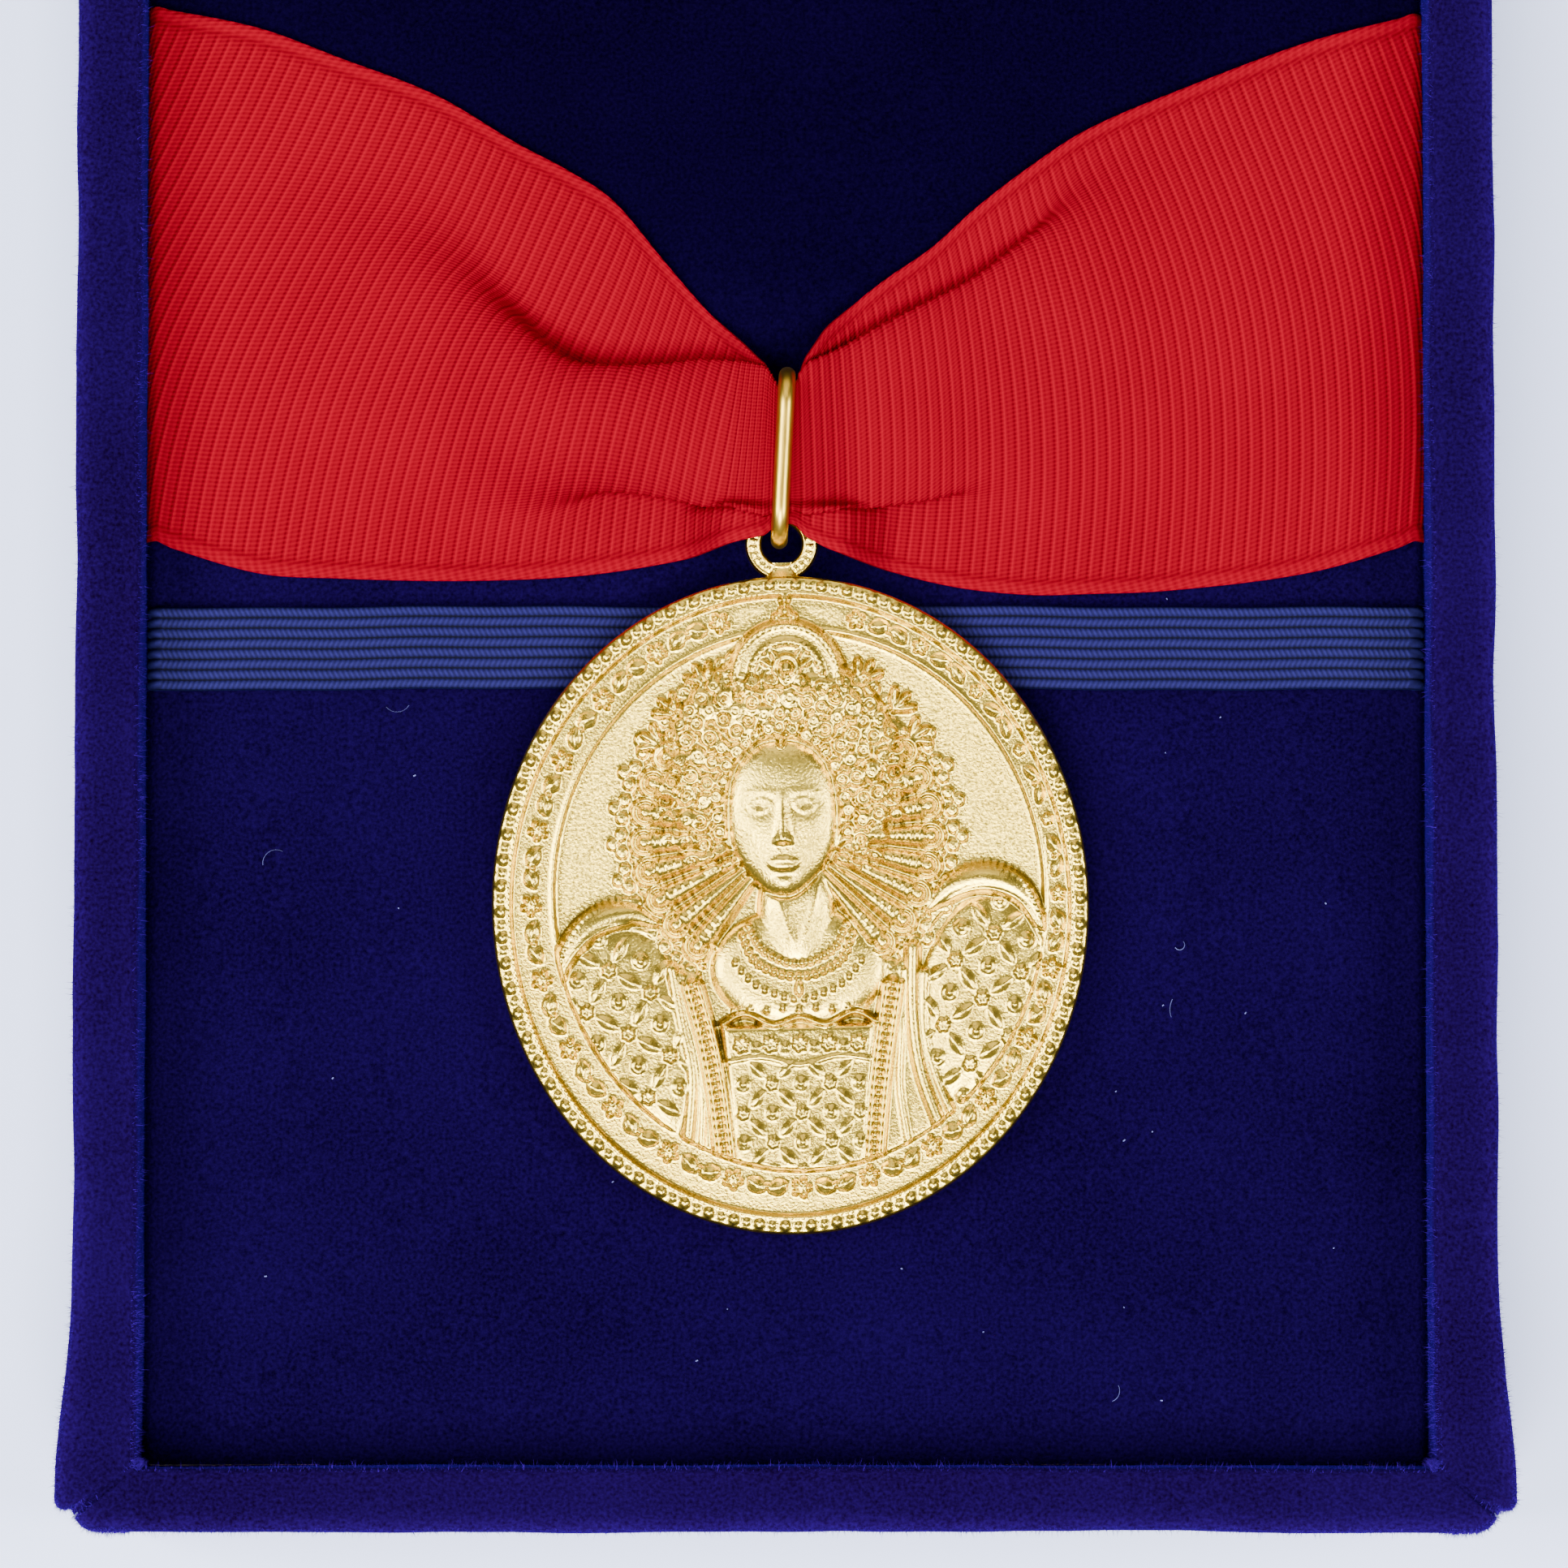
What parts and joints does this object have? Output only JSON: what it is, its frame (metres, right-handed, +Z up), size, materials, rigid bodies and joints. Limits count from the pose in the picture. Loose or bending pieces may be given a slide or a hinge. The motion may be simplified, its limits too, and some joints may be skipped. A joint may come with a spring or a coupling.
{
  "type": "cased medal",
  "caption": "Velvet presentation case, lid open, with a crowned pad, an elastic strap and an oval gilt medal on a jump ring and gathered ribbon.",
  "frame": {"origin": "middle of the underside of the base", "axes": "+Z up, +X to the right seen from the front, +Y to the hinged back edge"},
  "size_m": [0.1024, 0.1436, 0.1535],
  "materials": {
    "board": "grey board",
    "velvet": "deep blue cotton velvet",
    "lining_paper": "matt",
    "foam": "wadding",
    "elastic": "braided elastic",
    "ribbon": "ribbed grosgrain",
    "ring_brass": "drawn wire, satin",
    "hinge_brass": "satin",
    "gilt": "gilt casting, matt field",
    "satin": "ivory satin"
  },
  "bodies": {
    "base": {"base_lining_paper": "lining_paper", "base_bottom_board": "board", "base_front_wall": "board", "base_back_wall": "board", "base_left_wall": "board", "base_right_wall": "board", "base_velvet_cover": "velvet", "front_riser": "board", "back_riser": "board", "base_hinge_leaf_left": "hinge_brass", "base_hinge_leaf_right": "hinge_brass", "base_hinge_nail_left_1": "hinge_brass", "base_hinge_nail_left_2": "hinge_brass", "base_hinge_nail_right_1": "hinge_brass", "base_hinge_nail_right_2": "hinge_brass", "hinge_pin_left": "hinge_brass", "hinge_pin_right": "hinge_brass"},
    "pad": {"insert_board": "board", "insert_foam": "foam", "insert_velvet": "velvet", "elastic_strap": "elastic"},
    "ribbon": {"neck_ribbon": "ribbon"},
    "ring": {"jump_ring": "ring_brass"},
    "medal": {"medal": "gilt"},
    "lid": {"lid_top_board": "board", "lid_front_wall": "board", "lid_back_wall": "board", "lid_left_wall": "board", "lid_right_wall": "board", "lid_velvet_cover": "velvet", "lid_lining_card": "board", "lid_lining_pad": "satin", "lid_hinge_leaf_left": "hinge_brass", "lid_hinge_leaf_right": "hinge_brass", "lid_hinge_nail_left_1": "hinge_brass", "lid_hinge_nail_left_2": "hinge_brass", "lid_hinge_nail_right_1": "hinge_brass", "lid_hinge_nail_right_2": "hinge_brass"}
  },
  "joints": [
    {"name": "lid_hinge", "type": "hinge", "parent": "base", "child": "lid", "pos_m": [0, 0.0664, 0.02215], "axis": [-1, 0, 0], "range_deg": [-90, 0]},
    {"name": "pad_lift", "type": "slide", "parent": "base", "child": "pad", "axis": [0, 0, 1], "range_m": [0, 0.04]},
    {"name": "set_lift", "type": "slide", "parent": "pad", "child": "ribbon", "axis": [0, 0, 1], "range_m": [0, 0.04]},
    {"name": "ring_turn", "type": "hinge", "parent": "ribbon", "child": "ring", "pos_m": [-0.00015, 0.01055, 0.0201], "axis": [0, 0, 1], "range_deg": [-8, 8]},
    {"name": "medal_swing", "type": "hinge", "parent": "ring", "child": "medal", "pos_m": [-0.00033, 0.0069, 0.0201], "axis": [-1, 0, 0], "range_deg": [0, 85]}
  ]
}
